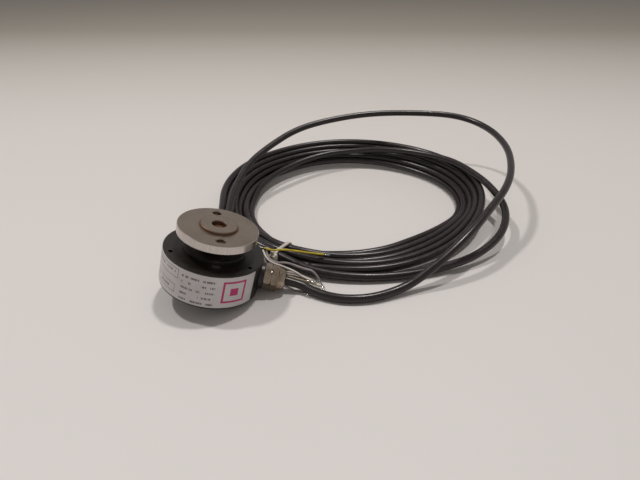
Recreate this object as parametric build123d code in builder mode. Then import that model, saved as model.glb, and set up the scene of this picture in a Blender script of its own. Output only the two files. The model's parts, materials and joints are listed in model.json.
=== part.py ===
"""Incremental rotary encoder with a flanged drive disc, a cable gland and a tied coil of cable.

Millimetres, +Z up.  The encoder lies on a table as it does with a stiff cable in its gland: its
shaft leans towards the gland and a little back, and the rim of its rear face and the rear bearing
boss touch the table, Z = 0.  X runs from the housing towards the gland and the coil lies on the +Y side.
The encoder's own pieces are drawn upright, rear face on Z = 0 and gland along +X, and one
placement, rest, sets them down.  The cable is drawn straight in the table's frame.
"""

from build123d import *
import math
import os

os.makedirs("parts", exist_ok=True)

# Housing: a 58 mm cup closed by a flange
body_r = 29.0
body_h = 22.0
cup_h = 20.0
wall = 1.5
cup_floor = 2.5
edge = 0.4
boss_r = 10.0
collar_r = 18.0
collar_h = 2.0
plug_h = 2.8
pillar_pitch_r = 23.3
pillar_r = 2.75
pillar_angles = (60, 180, 300)
mount_pitch_r = 25.7
mount_tap_r = 1.25
mount_depth = 4.2
mount_angles = (90, 210, 330)
label_foot = 1.3
label_h = 19.8
label_t = 0.2
label_start = -208.0
label_sweep = 180.0

# Rest pose: boss and rim touch the table together, the shaft leans this way from +X towards +Y
lean = 14.6
lean_heading = 12.0
boss_h = (body_r - boss_r) * math.tan(math.radians(lean))

# Shaft and ball bearings, 8 x 16 x 5
shaft_r = 4.0
shoulder_r = 4.9
bearing_r = 8.0
bearing_w = 5.0
ball_r = 1.25
ball_pitch_r = 6.0
ball_count = 9
groove_r = ball_r + 0.03
inner_land_r = 5.35
outer_land_r = 6.65
cage_r = (5.6, 6.4)
cage_w = 3.4
slip = 0.02
rear_bearing_z = -3.2
front_bearing_z = 15.5
circlip_z = 14.8
circlip_t = 0.6

# Drive disc
disc_r = 23.1
disc_z = 31.7
disc_t = 5.3
hub_r = 10.7
hub_h = 1.5
disc_neck_r = 9.0
disc_neck_h = 4.9
drive_hole_r = 2.5
drive_pitch_r = 17.0
drive_hole_angle = 104.0
shaft_end = 36.2

# Optics and electronics
board_z = 4.6
board_t = 1.6
board_r = 21.5
board_screw_pitch_r = 18.0
board_screw_angles = (90, 200, 310)
code_disc_r = 14.5
code_disc_z = 8.9
code_disc_t = 1.0
code_hub_z = 7.6
code_hub_r = 8.5
spigot_r = 5.6
spigot_top = 13.2
clamp_pitch_r = 7.0
hub_screw_z = 12.0
read_r = 12.5
flange_under = cup_h - plug_h
pole_pitch = 2.0
poles = 8

# Cable gland, M12 thread with 14 mm flats
gland_z = 11.0
gland_flats = 14.0
gland_thread_r = 6.0
pad_x = 30.6
hex_x = (31.2, 35.0)
nut_x = (35.3, 39.6, 44.2)
mouth_r = 4.3
cable_r = 2.675

# Coil and loose cable, in the table's frame; the tie's strap is (thickness, width)
coil_centre = (88.0, 122.7)
coil_half = (110.0, 119.0)
opening_centre = (86.0, 113.0)
opening_r = 77.0
coil_low = 12.0
coil_high = 24.0
tie_centre = (33.4, 27.8)
tie_heading = -34.0
tie_size = (19.6, 18.0)
tie_strap = (1.2, 2.6)
tie_corner_r = 7.0
tie_head = (5.0, 6.0, 5.2)
core_r = 0.65

# The rest placement: leant, the rim of the rear face on the table, its box centred on the origin
heading_turn = Location((0, 0, 0), (0, 0, lean_heading))
tilt = heading_turn * Location((0, 0, 0), (0, lean, 0)) * heading_turn.inverse()
shaft_way = (tilt * Location((0, 0, 1))).position
gland_way = (tilt * Location((1, 0, 0))).position
nut_mouth = (tilt * Location((nut_x[2], 0, gland_z))).position
right_reach = nut_mouth.X + mouth_r * math.sqrt(1 - gland_way.X**2)
left_reach = -body_r * math.sqrt(1 - shaft_way.X**2)
back_reach = body_h * shaft_way.Y + body_r * math.sqrt(1 - shaft_way.Y**2)
front_reach = label_foot * shaft_way.Y - (body_r + label_t) * math.sqrt(1 - shaft_way.Y**2)
rest_z = body_r * math.sin(math.radians(lean))
rest = Location((-(left_reach + right_reach) / 2, -(front_reach + back_reach) / 2, rest_z)) * tilt

gland_plane = Plane(origin=(0, 0, gland_z), x_dir=(1, 0, 0), z_dir=(0, -1, 0))
gland_axis = Axis((0, 0, gland_z), (1, 0, 0))


def polar(radius, angle, z=0.0):
    """A point at a radius and an angle in degrees about the shaft."""
    return (radius * math.cos(math.radians(angle)), radius * math.sin(math.radians(angle)), z)


def write(shape, label, place=rest):
    """Set a finished piece down where it rests, label it and write its STEP file."""
    piece = shape.moved(place)
    piece.label = label
    export_step(piece, f"parts/{label}.step")
    return piece


def turned(corners, plane=Plane.XZ, axis=Axis.Z):
    """A turned piece from the (radius, height) corners of its section."""
    with BuildPart() as piece:
        with BuildSketch(plane):
            with BuildLine():
                Polyline(*corners, close=True)
            make_face()
        revolve(axis=axis)
    return piece


def ring(inner, outer, low, high):
    """A plain turned ring."""
    return turned([(inner, low), (outer, low), (outer, high), (inner, high)])


def screws(points, head_r, head_h, shank_r, length, up=True):
    """Pan-head screws with a hexagon recess, heads away from the shank's end."""
    way = 1 if up else -1
    with BuildPart() as group:
        for x, y, z in points:
            seat = Plane(origin=(x, y, z), z_dir=(0, 0, way))
            with BuildSketch(seat):
                Circle(shank_r)
            extrude(amount=length)
            with BuildSketch(seat):
                Circle(head_r)
            extrude(amount=-head_h)
            with BuildSketch(seat.offset(-head_h)):
                RegularPolygon(head_r * 0.5, 6)
            extrude(amount=head_h * 0.55, mode=Mode.SUBTRACT)
    return group


# Rear housing: cup, rear bearing boss, gland pad, board stand-offs
washer_z = rear_bearing_z - 0.55
with BuildPart() as rear_housing:
    with BuildSketch(Plane.XZ):
        with BuildLine():
            Polyline(
                (0, -boss_h), (boss_r, -boss_h), (boss_r, 0), (body_r - edge, 0), (body_r, edge),
                (body_r, cup_h), (body_r - wall, cup_h), (body_r - wall, cup_floor),
                (bearing_r + slip, cup_floor), (bearing_r + slip, washer_z), (0, washer_z),
                close=True,
            )
        make_face()
    revolve(axis=Axis.Z)
    with BuildSketch(Plane.YZ.offset(pad_x)):
        with Locations((0, gland_z)):
            Circle(8.0)
    extrude(amount=-(pad_x - body_r + wall / 2))
    with BuildSketch(Plane.YZ.offset(pad_x)):
        with Locations((0, gland_z)):
            Circle(gland_thread_r)
    extrude(amount=-6, mode=Mode.SUBTRACT)
    with BuildSketch(Plane.XY.offset(cup_floor)):
        with Locations(*[polar(board_screw_pitch_r, a)[:2] for a in board_screw_angles]):
            Circle(2.5)
    extrude(amount=board_z - cup_floor)
    with Locations(*[polar(board_screw_pitch_r, a, board_z) for a in board_screw_angles]):
        Hole(1.0 + slip, depth=3.0)
    with Locations(*[polar(pillar_pitch_r, a, cup_floor) for a in pillar_angles]):
        Hole(1.6, depth=cup_floor)
    with BuildSketch(Plane.XY):
        with Locations(*[polar(pillar_pitch_r, a)[:2] for a in pillar_angles]):
            Circle(2.9)
    extrude(amount=1.5, mode=Mode.SUBTRACT)
write(rear_housing.part, "rear_housing")

housing_screws = screws([polar(pillar_pitch_r, a, 1.5) for a in pillar_angles], 2.75, 1.4, 1.5, 9.0)
write(housing_screws.part, "housing_screws")

# Front flange: lid, collar round the shaft seal, bearing seat, pillars
front_top = front_bearing_z + bearing_w
with BuildPart() as front_flange:
    with BuildSketch(Plane.XZ):
        with BuildLine():
            Polyline(
                (bearing_r + slip, 14.4), (10.0, 14.4), (10.0, flange_under),
                (body_r - wall - 0.05, flange_under), (body_r - wall - 0.05, cup_h + 0.05),
                (body_r, cup_h + 0.05), (body_r, body_h - edge), (body_r - edge, body_h),
                (collar_r, body_h), (collar_r, body_h + collar_h - 0.3),
                (collar_r - 0.3, body_h + collar_h), (bearing_r + slip, body_h + collar_h),
                (bearing_r + slip, front_top + 1.1), (5.6, front_top + 1.1),
                (5.6, front_top + slip), (bearing_r + slip, front_top + slip),
                close=True,
            )
        make_face()
    revolve(axis=Axis.Z)
    with BuildSketch(Plane.XY.offset(cup_floor + 0.05)):
        with Locations(*[polar(pillar_pitch_r, a)[:2] for a in pillar_angles]):
            Circle(pillar_r)
    extrude(until=Until.NEXT)
    with BuildSketch(Plane.XY.offset(cup_floor + 0.05)):
        with Locations(*[polar(pillar_pitch_r, a)[:2] for a in pillar_angles]):
            Circle(1.5 + slip)
    extrude(amount=9.0, mode=Mode.SUBTRACT)
    with Locations(*[polar(mount_pitch_r, a, body_h) for a in mount_angles]):
        Hole(mount_tap_r, depth=mount_depth)
    with BuildSketch(Plane.XY.offset(flange_under)):
        with Locations((-14.0, -4.0), (-14.0, 4.0)):
            Circle(1.0 + slip)
    extrude(amount=3.4, mode=Mode.SUBTRACT)
    with BuildSketch(Plane.XZ):
        with BuildLine():
            Polyline(
                (bearing_r - 0.1, circlip_z - 0.05), (8.7, circlip_z - 0.05),
                (8.7, circlip_z + circlip_t + 0.05), (bearing_r - 0.1, circlip_z + circlip_t + 0.05),
                close=True,
            )
        make_face()
    revolve(axis=Axis.Z, mode=Mode.SUBTRACT)
write(front_flange.part, "front_flange")

# Label, half way round the side, from past -X round -Y to near the gland
with BuildPart() as label:
    with BuildSketch(Plane.XZ.rotated((0, 0, label_start))):
        with Locations((body_r + label_t / 2 + 0.01, label_foot + label_h / 2)):
            Rectangle(label_t, label_h)
    revolve(axis=Axis.Z, revolution_arc=label_sweep)
write(label.part, "label")

# Ball bearings
def bearing_ring(inner, outer, low):
    """One ring of a bearing with its ball groove; the groove's centre is on the ball circle."""
    middle = low + bearing_w / 2
    with BuildPart() as piece:
        with BuildSketch(Plane.XZ):
            with Locations(((inner + outer) / 2, middle)):
                Rectangle(outer - inner, bearing_w)
            with Locations((ball_pitch_r, middle)):
                Circle(groove_r, mode=Mode.SUBTRACT)
        revolve(axis=Axis.Z)
    return piece


def ball_group(low):
    """The ring of balls of one bearing."""
    with BuildPart() as group:
        with Locations((0, 0, low + bearing_w / 2)):
            with PolarLocations(ball_pitch_r, ball_count):
                Sphere(ball_r)
    return group


def ball_cage(low):
    """A cage with a round pocket, drilled from outside, for each ball."""
    middle = low + bearing_w / 2
    with BuildPart() as cage:
        with BuildSketch(Plane.XZ):
            with Locations(((cage_r[0] + cage_r[1]) / 2, middle)):
                Rectangle(cage_r[1] - cage_r[0], cage_w)
        revolve(axis=Axis.Z)
        with Locations((0, 0, middle)):
            with PolarLocations(ball_pitch_r, ball_count):
                Cylinder(ball_r + 0.08, 4.0, rotation=(0, 90, 0), mode=Mode.SUBTRACT)
    return cage


for side, low in (("rear", rear_bearing_z), ("front", front_bearing_z)):
    write(bearing_ring(outer_land_r, bearing_r, low).part, f"{side}_outer_ring")
    write(bearing_ring(shaft_r + 0.01, inner_land_r, low).part, f"{side}_inner_ring")
    write(ball_group(low).part, f"{side}_balls")
    write(ball_cage(low).part, f"{side}_cage")

# Preload spring, circlips and shaft seal
write(ring(6.4, 7.8, washer_z, rear_bearing_z - 0.05).part, "preload_washer")

with BuildPart() as bearing_circlip:
    with BuildSketch(Plane.XY.offset(circlip_z)):
        Circle(8.65)
        Circle(7.1, mode=Mode.SUBTRACT)
        with Locations((8.0, 0)):
            Rectangle(4.0, 3.0, mode=Mode.SUBTRACT)
    extrude(amount=circlip_t)
write(bearing_circlip.part, "bearing_circlip")

with BuildPart() as shaft_circlip:
    with BuildSketch(Plane.XY.offset(front_top + 0.05)):
        Circle(5.1)
        Circle(3.65, mode=Mode.SUBTRACT)
        with Locations((4.5, 0)):
            Rectangle(3.0, 2.4, mode=Mode.SUBTRACT)
    extrude(amount=circlip_t)
write(shaft_circlip.part, "shaft_circlip")

seal_low = front_top + 1.15
seal_top = body_h + collar_h
shaft_seal = turned([
    (shaft_r + 0.06, seal_low + 0.9), (shaft_r + 1.0, seal_low), (bearing_r, seal_low),
    (bearing_r, seal_top - 0.1), (5.4, seal_top - 0.1), (5.4, seal_low + 1.3),
    (shaft_r + 0.06, seal_low + 1.3),
])
write(shaft_seal.part, "shaft_seal")

# Shaft with a shoulder, a circlip groove and a centre hole
with BuildPart() as shaft:
    with BuildSketch(Plane.XZ):
        with BuildLine():
            Polyline(
                (0, rear_bearing_z), (shaft_r - 0.3, rear_bearing_z), (shaft_r, rear_bearing_z + 0.3),
                (shaft_r, 1.85), (shoulder_r, 1.85), (shoulder_r, code_hub_z - 0.05),
                (shaft_r, code_hub_z - 0.05),
                (shaft_r, front_top), (3.6, front_top), (3.6, front_top + 0.7),
                (shaft_r, front_top + 0.7), (shaft_r, shaft_end - 0.4), (shaft_r - 0.4, shaft_end),
                (0, shaft_end),
                close=True,
            )
        make_face()
    revolve(axis=Axis.Z)
    with Locations((0, 0, shaft_end)):
        CounterSinkHole(1.65, 2.4, depth=9.0)
write(shaft.part, "shaft")

bearing_spacer = ring(shaft_r + 0.01, 5.2, spigot_top + 0.05, front_bearing_z)
write(bearing_spacer.part, "bearing_spacer")

# Drive disc with its raised hub, two drive holes and a neck with two set screws
disc_top = disc_z + disc_t
neck_z = disc_z - disc_neck_h
set_screw_z = neck_z + 2.4
with BuildPart() as drive_disc:
    with BuildSketch(Plane.XZ):
        with BuildLine():
            Polyline(
                (shaft_r + 0.02, neck_z), (disc_neck_r, neck_z), (disc_neck_r, disc_z),
                (disc_r - 0.4, disc_z), (disc_r, disc_z + 0.4), (disc_r, disc_top - 0.4),
                (disc_r - 0.4, disc_top), (hub_r, disc_top), (hub_r, disc_top + hub_h - 0.4),
                (hub_r - 0.4, disc_top + hub_h), (shaft_r + 0.4, disc_top + hub_h),
                (shaft_r + 0.02, disc_top + hub_h - 0.4),
                close=True,
            )
        make_face()
    revolve(axis=Axis.Z)
    with Locations((0, 0, disc_top)):
        with Locations(*[polar(drive_pitch_r, drive_hole_angle + a) for a in (0, 180)]):
            CounterSinkHole(drive_hole_r, drive_hole_r + 0.5)
    for angle in (-30, 60):
        with BuildSketch(Plane(origin=(0, 0, set_screw_z), z_dir=polar(1, angle))):
            Circle(1.5 + slip)
        extrude(amount=disc_neck_r + 1, mode=Mode.SUBTRACT)
write(drive_disc.part, "drive_disc")

with BuildPart() as set_screws:
    for angle in (-30, 60):
        tip = polar(shaft_r + 0.03, angle, set_screw_z)
        with BuildSketch(Plane(origin=tip, z_dir=polar(1, angle))):
            Circle(1.5)
        extrude(amount=4.2)
        socket = polar(shaft_r + 4.23, angle, set_screw_z)
        with BuildSketch(Plane(origin=socket, z_dir=polar(1, angle))):
            RegularPolygon(0.85, 6)
        extrude(amount=-1.6, mode=Mode.SUBTRACT)
write(set_screws.part, "set_screws")

# Code disc on its hub, clamped by a ring and three screws
disc_low = code_disc_z
disc_high = code_disc_z + code_disc_t
with BuildPart() as code_hub:
    with BuildSketch(Plane.XZ):
        with BuildLine():
            Polyline(
                (shaft_r + 0.01, code_hub_z), (code_hub_r, code_hub_z), (code_hub_r, disc_low),
                (spigot_r, disc_low), (spigot_r, spigot_top), (shaft_r + 0.01, spigot_top),
                close=True,
            )
        make_face()
    revolve(axis=Axis.Z)
    with BuildSketch(Plane.XY.offset(code_hub_z)):
        with PolarLocations(clamp_pitch_r, 3):
            Circle(0.5 + slip)
    extrude(amount=2, mode=Mode.SUBTRACT)
    with BuildSketch(Plane(origin=(0, 0, hub_screw_z), z_dir=(0, 1, 0))):
        Circle(0.8 + slip)
    extrude(amount=8, mode=Mode.SUBTRACT)
write(code_hub.part, "code_hub")

with BuildPart() as hub_set_screw:
    with BuildSketch(Plane(origin=(0, shaft_r + 0.03, hub_screw_z), z_dir=(0, 1, 0))):
        Circle(0.8)
        RegularPolygon(0.4, 6, mode=Mode.SUBTRACT)
    extrude(amount=1.4)
write(hub_set_screw.part, "hub_set_screw")

with BuildPart() as code_disc:
    with BuildSketch(Plane.XY.offset(disc_low)):
        Circle(code_disc_r)
        Circle(spigot_r + slip, mode=Mode.SUBTRACT)
        with PolarLocations(clamp_pitch_r, 3):
            Circle(0.7, mode=Mode.SUBTRACT)
    extrude(amount=code_disc_t)
write(code_disc.part, "code_disc")

with BuildPart() as clamp_ring:
    with BuildSketch(Plane.XY.offset(disc_high)):
        Circle(code_hub_r)
        Circle(spigot_r + slip, mode=Mode.SUBTRACT)
        with PolarLocations(clamp_pitch_r, 3):
            Circle(0.55, mode=Mode.SUBTRACT)
    extrude(amount=0.8)
write(clamp_ring.part, "clamp_ring")

clamp_points = [polar(clamp_pitch_r, a, disc_high + 0.8) for a in (0, 120, 240)]
clamp_screws = screws(clamp_points, 1.0, 0.7, 0.5, 2.9, up=False)
write(clamp_screws.part, "clamp_screws")

# Circuit board and what stands on it
with BuildPart() as circuit_board:
    with BuildSketch(Plane.XY.offset(board_z)):
        Circle(board_r)
        Circle(7.0, mode=Mode.SUBTRACT)
        with Locations(*[polar(pillar_pitch_r, a)[:2] for a in pillar_angles]):
            Circle(pillar_r + 0.4, mode=Mode.SUBTRACT)
        with Locations(*[polar(board_screw_pitch_r, a)[:2] for a in board_screw_angles]):
            Circle(1.1, mode=Mode.SUBTRACT)
    extrude(amount=board_t)
write(circuit_board.part, "circuit_board")

board_top = board_z + board_t
board_points = [polar(board_screw_pitch_r, a, board_top) for a in board_screw_angles]
board_screws = screws(board_points, 1.9, 1.3, 1.0, 4.2, up=False)
write(board_screws.part, "board_screws")


def blocks(places, plane):
    """Small rectangular packages: each place is (x, y, length, width, height)."""
    with BuildPart() as group:
        for x, y, length, width, height in places:
            with BuildSketch(plane):
                with Locations((x, y)):
                    Rectangle(length, width)
            extrude(amount=height)
    return group


on_board = Plane.XY.offset(board_top)
chips = blocks([(6.5, 13.5, 7.0, 5.0, 1.2), (3.5, -14.5, 5.0, 4.0, 1.2)], on_board)
write(chips.part, "signal_chips")
small_parts = blocks(
    [(-3.0 - 2.6 * i, 12.0 - 1.1 * i, 1.25, 2.0, 0.8) for i in range(4)]
    + [(-4.0 - 2.6 * i, -13.5 + 1.0 * i, 1.25, 2.0, 0.8) for i in range(3)],
    on_board,
)
write(small_parts.part, "small_components")
photo_detector = blocks([(-read_r, 0, 6.0, 5.0, 1.5)], on_board)
write(photo_detector.part, "photo_detector")
reticle = blocks([(-read_r, 0, 4.6, 4.0, 0.6)], on_board.offset(1.5))
write(reticle.part, "reticle")

# Light source over the code disc, on a bracket under the flange
bracket_low = 12.2
with BuildPart() as led_bracket:
    with BuildSketch(Plane.XY.offset(bracket_low)):
        with Locations((-14.4, 0)):
            Rectangle(7.6, 11.6)
    extrude(amount=flange_under - bracket_low)
    with BuildSketch(Plane.XY.offset(bracket_low)):
        with Locations((-14.0, -4.0), (-14.0, 4.0)):
            Circle(1.1)
    extrude(amount=6, mode=Mode.SUBTRACT)
write(led_bracket.part, "led_bracket")
bracket_screws = screws([(-14.0, -4.0, bracket_low), (-14.0, 4.0, bracket_low)], 1.7, 1.1, 1.0, 8.0)
write(bracket_screws.part, "bracket_screws")
led_emitter = blocks([(-read_r, 0, 3.2, 2.8, 1.2)], Plane.XY.offset(bracket_low - 1.2))
write(led_emitter.part, "led_emitter")

with BuildPart() as led_leads:
    for y in (-0.8, 0.8):
        with BuildLine() as lead_path:
            FilletPolyline((-14.1, y, 11.5), (-19.6, y, 11.5), (-19.6, y, board_top), radius=1.0)
        with BuildSketch(Plane(origin=lead_path.line @ 0, z_dir=lead_path.line % 0)):
            Circle(0.3)
        sweep(path=lead_path.line)
write(led_leads.part, "led_leads")

# Terminal block and the cores that reach it through the gland
terminal_x = (15.4, 19.4)
terminal_y = [(i - (poles - 1) / 2) * pole_pitch for i in range(poles)]
with BuildPart() as terminal_block:
    with BuildSketch(on_board):
        with Locations((sum(terminal_x) / 2, 0)):
            Rectangle(terminal_x[1] - terminal_x[0], poles * pole_pitch)
    extrude(amount=4.0)
    with BuildSketch(on_board.offset(4.0)):
        with Locations(*[(sum(terminal_x) / 2, y) for y in terminal_y]):
            Circle(0.7)
    extrude(amount=-2.0, mode=Mode.SUBTRACT)
write(terminal_block.part, "terminal_block")

sheath_end = 26.0
with BuildPart() as inner_cores:
    for i, y in enumerate(terminal_y):
        begin = Vector(sheath_end - 0.3, (i - 3.5) * 0.6, gland_z + (0.75 if i % 2 else -0.75))
        finish = Vector(terminal_x[1], y, board_top + 2.2)
        with BuildSketch(Plane(origin=begin, z_dir=finish - begin)):
            Circle(0.5)
        extrude(amount=(finish - begin).length - 0.3)
write(inner_cores.part, "inner_cores")

# Cable gland
def gland_turned(corners):
    """A turned piece about the gland's axis, from (distance from the shaft, radius) corners."""
    return turned(corners, gland_plane, gland_axis)


gland_gasket = gland_turned([(pad_x, 6.1), (hex_x[0], 6.1), (hex_x[0], 7.6), (pad_x, 7.6)])
write(gland_gasket.part, "gland_gasket")

with BuildPart() as gland_body:
    with BuildSketch(Plane.YZ.offset(hex_x[0])):
        with Locations((0, gland_z)):
            RegularPolygon(gland_flats / 2, 6, major_radius=False, rotation=30)
    extrude(amount=hex_x[1] - hex_x[0])
    with BuildSketch(gland_plane):
        with BuildLine():
            Polyline(
                (25.2, 0), (25.2, 5.97), (hex_x[0] + 0.1, 5.97), (hex_x[0] + 0.1, 6.5),
                (hex_x[1] - 0.1, 6.5), (hex_x[1] - 0.1, 5.7), (39.4, 5.7), (39.4, 0), close=True,
            )
        make_face()
    revolve(axis=gland_axis)
    with BuildSketch(gland_plane):
        with BuildLine():
            Polyline(
                (25.0, 0), (25.0, 3.6), (33.9, 3.6), (33.9, 4.7), (40.0, 4.7), (40.0, 0), close=True,
            )
        make_face()
    revolve(axis=gland_axis, mode=Mode.SUBTRACT)
write(gland_body.part, "gland_body")

gland_seal = gland_turned([(34.0, cable_r + 0.03), (41.6, cable_r + 0.03), (41.6, 3.6), (34.0, 3.6)])
write(gland_seal.part, "gland_seal")
gland_claw = gland_turned([(34.0, 3.65), (42.4, 3.65), (42.4, 3.95), (40.8, 4.6), (34.0, 4.6)])
write(gland_claw.part, "gland_claw")

with BuildPart() as gland_nut:
    with BuildSketch(Plane.YZ.offset(nut_x[0])):
        with Locations((0, gland_z)):
            RegularPolygon(gland_flats / 2, 6, major_radius=False, rotation=30)
    extrude(amount=nut_x[1] - nut_x[0])
    with BuildSketch(gland_plane):
        with BuildLine():
            Line((nut_x[1] - 0.5, 0), (nut_x[1] - 0.5, 6.9))
            Line((nut_x[1] - 0.5, 6.9), (nut_x[1] + 0.4, 6.9))
            ThreePointArc((nut_x[1] + 0.4, 6.9), (nut_x[2] - 1.5, 6.1), (nut_x[2], mouth_r))
            Line((nut_x[2], mouth_r), (nut_x[2], 0))
            Line((nut_x[2], 0), (nut_x[1] - 0.5, 0))
        make_face()
    revolve(axis=gland_axis)
    with BuildSketch(gland_plane):
        with BuildLine():
            Polyline(
                (nut_x[0] - 1, 0), (nut_x[0] - 1, 5.75), (41.0, 5.75), (43.2, cable_r + 0.3),
                (nut_x[2] + 1, cable_r + 0.3), (nut_x[2] + 1, 0), close=True,
            )
        make_face()
    revolve(axis=gland_axis, mode=Mode.SUBTRACT)
write(gland_nut.part, "gland_nut")

with BuildPart() as cable_in_gland:
    with BuildSketch(Plane.YZ.offset(sheath_end)):
        with Locations((0, gland_z)):
            Circle(cable_r)
    extrude(amount=nut_x[2] - sheath_end)
write(cable_in_gland.part, "cable_in_gland")

# Loose cable
cable_exit = (rest * Location((nut_x[2], 0, gland_z))).position
lead_route = [
    tuple(cable_exit),
    (49.6, -2.3, 3.4),
    (64.0, -10.8, 2.9),
    (88.0, -15.5, 2.9),
    (113.0, -7.0, 6.0),
    (139.0, 13.0, 20.0),
    (168.0, 43.0, 31.0),
    (195.0, 84.0, 40.0),
    (215.0, 136.0, 44.0),
    (208.0, 190.0, 49.0),
    (172.0, 224.0, 51.0),
    (122.0, 231.0, 50.0),
    (74.0, 229.0, 45.0),
    (31.0, 211.0, 36.0),
    (2.0, 175.0, 27.0),
    (-11.0, 137.0, 18.0),
    (-13.0, 104.0, 10.0),
]
tail_route = [(-13.0, 92.0, 9.0), (-10.0, 66.0, 10.0), (-2.0, 44.0, 12.0), (16.0, 30.0, 14.0)]
core_routes = {
    "core_yellow": [
        (16.0, 30.6, 15.6), (23.5, 20.6, 17.8), (33.0, 17.0, 18.8), (45.5, 18.0, 16.4), (59.6, 19.4, 14.4),
    ],
    "core_white": [
        (15.2, 29.2, 14.9), (18.4, 20.4, 14.0), (26.0, 11.6, 12.6), (38.0, 7.4, 10.6), (51.7, 2.0, 5.4),
    ],
    "core_grey": [
        (17.0, 31.0, 14.6), (22.4, 18.4, 13.0), (31.5, 11.8, 12.2), (44.0, 9.2, 12.0), (50.5, 6.6, 11.0),
        (55.6, 3.8, 9.2), (57.0, 1.6, 5.0),
    ],
    "core_pink": [
        (15.0, 28.9, 13.4), (19.0, 19.6, 11.4), (28.0, 11.0, 9.4), (40.0, 8.4, 7.2), (54.0, 2.6, 4.6),
    ],
    "core_brown": [
        (17.0, 30.9, 13.0), (20.0, 20.8, 9.6), (27.4, 12.6, 7.0), (37.0, 8.6, 5.2), (48.6, 5.8, 3.2),
    ],
    "core_cream": [
        (15.6, 29.8, 12.4), (18.6, 20.0, 8.4), (26.4, 12.6, 6.0), (37.6, 7.6, 5.0), (47.4, 4.0, 3.6),
        (56.6, 0.3, 2.9),
    ],
    "core_green": [
        (16.4, 30.4, 12.2), (17.6, 20.6, 7.4), (25.6, 13.2, 3.6), (36.4, 7.4, 1.8), (47.4, 3.6, 1.2),
        (56.8, -1.4, 1.2),
    ],
}
drain_route = [
    (16.0, 30.0, 14.0), (15.8, 21.0, 8.0), (22.4, 15.0, 2.6), (32.0, 9.6, 0.8), (42.0, 1.0, 0.7),
    (51.4, -7.6, 0.7),
]


def bend_radii(route):
    """For each corner 0.45 of its shorter run over the tangent of half the turn."""
    spots = [Vector(*point) for point in route]
    radii = []
    for before, corner, after in zip(spots, spots[1:], spots[2:]):
        turn = math.radians((corner - before).get_angle(after - corner))
        shorter = min((corner - before).length, (after - corner).length)
        radii.append(0.45 * shorter / math.tan(turn / 2))
    return radii


def cord(route, radius, name):
    """A round cord along straight runs joined by the largest tangent arcs that they allow."""
    radii = bend_radii(route)
    with BuildPart() as tube:
        with BuildLine() as path:
            FilletPolyline(*route, radius=radii)
        with BuildSketch(Plane(origin=path.line @ 0, z_dir=path.line % 0)):
            Circle(radius)
        sweep(path=path.line)
    length = path.wire().length
    share = tube.part.volume / (math.pi * radius**2 * length)
    rounded = [round(r, 1) for r in radii]
    print(f"{name}: length {length:.1f}, volume share {share:.4f}, radii {rounded}")
    return tube


write(cord(lead_route, cable_r, "cable_lead").part, "cable_lead", Location())
write(cord(tail_route, cable_r, "cable_tail").part, "cable_tail", Location())
for name, route in core_routes.items():
    write(cord(route, core_r, name).part, name, Location())
write(cord(drain_route, 0.45, "drain_wire").part, "drain_wire", Location())

# Tinned tips on the loose cores
with BuildPart() as core_tips:
    for route in core_routes.values():
        start = Vector(*route[-1])
        heading = (start - Vector(*route[-2])).normalized()
        with BuildSketch(Plane(origin=start, z_dir=heading)):
            Circle(core_r * 0.6)
        extrude(amount=4.0)
write(core_tips.part, "core_tips", Location())

# Tied coil: the outer shape of all its turns, lower at the front than at the back
with BuildPart() as cable_coil:
    with BuildSketch():
        with Locations(coil_centre):
            Ellipse(*coil_half)
        with Locations(opening_centre):
            Circle(opening_r, mode=Mode.SUBTRACT)
    extrude(amount=coil_high)
    front_y = coil_centre[1] - coil_half[1]
    slope = math.atan2(coil_high - coil_low, 2 * coil_half[1])
    top = Plane(origin=(0, front_y, coil_low), z_dir=(0, -math.sin(slope), math.cos(slope)))
    split(bisect_by=top, keep=Keep.BOTTOM)
write(cable_coil.part, "cable_coil", Location())

# Cable tie across the turns
heading = Vector(math.cos(math.radians(tie_heading)), math.sin(math.radians(tie_heading)), 0)
inward = Vector(-heading.Y, heading.X, 0)
tie_plane = Plane(origin=(tie_centre[0], tie_centre[1], tie_size[1] / 2), x_dir=inward, z_dir=heading)
with BuildPart() as cable_tie:
    with BuildSketch(tie_plane):
        RectangleRounded(*tie_size, tie_corner_r)
        offset(amount=-tie_strap[0], mode=Mode.SUBTRACT)
    extrude(amount=tie_strap[1] / 2, both=True)
    with BuildSketch(tie_plane):
        with Locations((-(tie_size[0] + tie_head[0]) / 2 + 0.6, -1.0)):
            Rectangle(tie_head[0], tie_head[1])
    extrude(amount=tie_head[2] / 2, both=True)
write(cable_tie.part, "cable_tie", Location())
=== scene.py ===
"""Looks of the rotary encoder: its cable and loose cores, tie, label, gland and every finish."""
import json
import math
import bmesh
import bpy
import numpy as np
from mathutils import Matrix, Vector


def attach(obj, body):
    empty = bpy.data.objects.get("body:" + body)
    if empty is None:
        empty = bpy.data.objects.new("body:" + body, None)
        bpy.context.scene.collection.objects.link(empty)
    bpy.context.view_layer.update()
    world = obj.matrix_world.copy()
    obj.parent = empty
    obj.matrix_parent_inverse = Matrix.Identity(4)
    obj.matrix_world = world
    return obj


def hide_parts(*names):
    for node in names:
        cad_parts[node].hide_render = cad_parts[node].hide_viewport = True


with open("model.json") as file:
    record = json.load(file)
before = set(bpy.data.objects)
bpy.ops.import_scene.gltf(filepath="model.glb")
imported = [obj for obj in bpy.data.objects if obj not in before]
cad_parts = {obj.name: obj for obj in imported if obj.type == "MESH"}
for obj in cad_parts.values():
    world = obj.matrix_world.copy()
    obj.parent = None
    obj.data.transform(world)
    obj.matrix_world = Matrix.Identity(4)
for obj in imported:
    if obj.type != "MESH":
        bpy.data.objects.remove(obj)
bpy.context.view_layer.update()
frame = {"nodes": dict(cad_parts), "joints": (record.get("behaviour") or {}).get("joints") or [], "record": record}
MM = 0.001

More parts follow.
